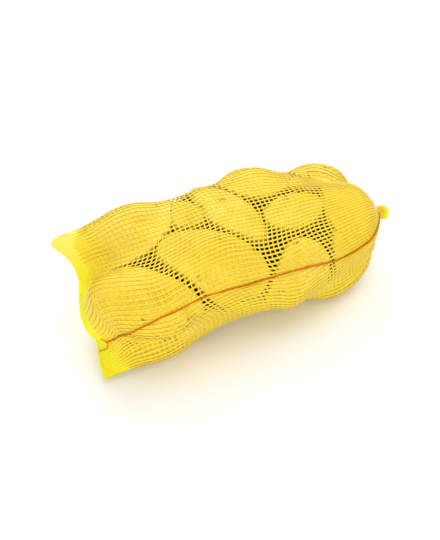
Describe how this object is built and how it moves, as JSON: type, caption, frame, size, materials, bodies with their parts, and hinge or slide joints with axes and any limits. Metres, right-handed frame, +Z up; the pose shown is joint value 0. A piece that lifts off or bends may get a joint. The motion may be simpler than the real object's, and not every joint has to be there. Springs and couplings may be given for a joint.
{
  "type": "net bag of potatoes",
  "caption": "Yellow net sack full of potatoes, lying on its side, sewn flat in a hem at one end, tied in a knot at the other, with a seam thread along its side.",
  "frame": {"origin": "under the middle of the sack's box, on the surface that it lies on", "axes": "+X along the sack from the sewn hem to the knot, +Y away from the side with the seam thread, +Z up"},
  "size_m": [0.3623, 0.1782, 0.117],
  "materials": {
    "net": "satin knitted plastic tape",
    "thread": "matt twisted thread",
    "potato_skin": "matt washed potato skin"
  },
  "bodies": {
    "root": {"filled_net": "net", "seam_thread": "thread"}
  },
  "joints": []
}
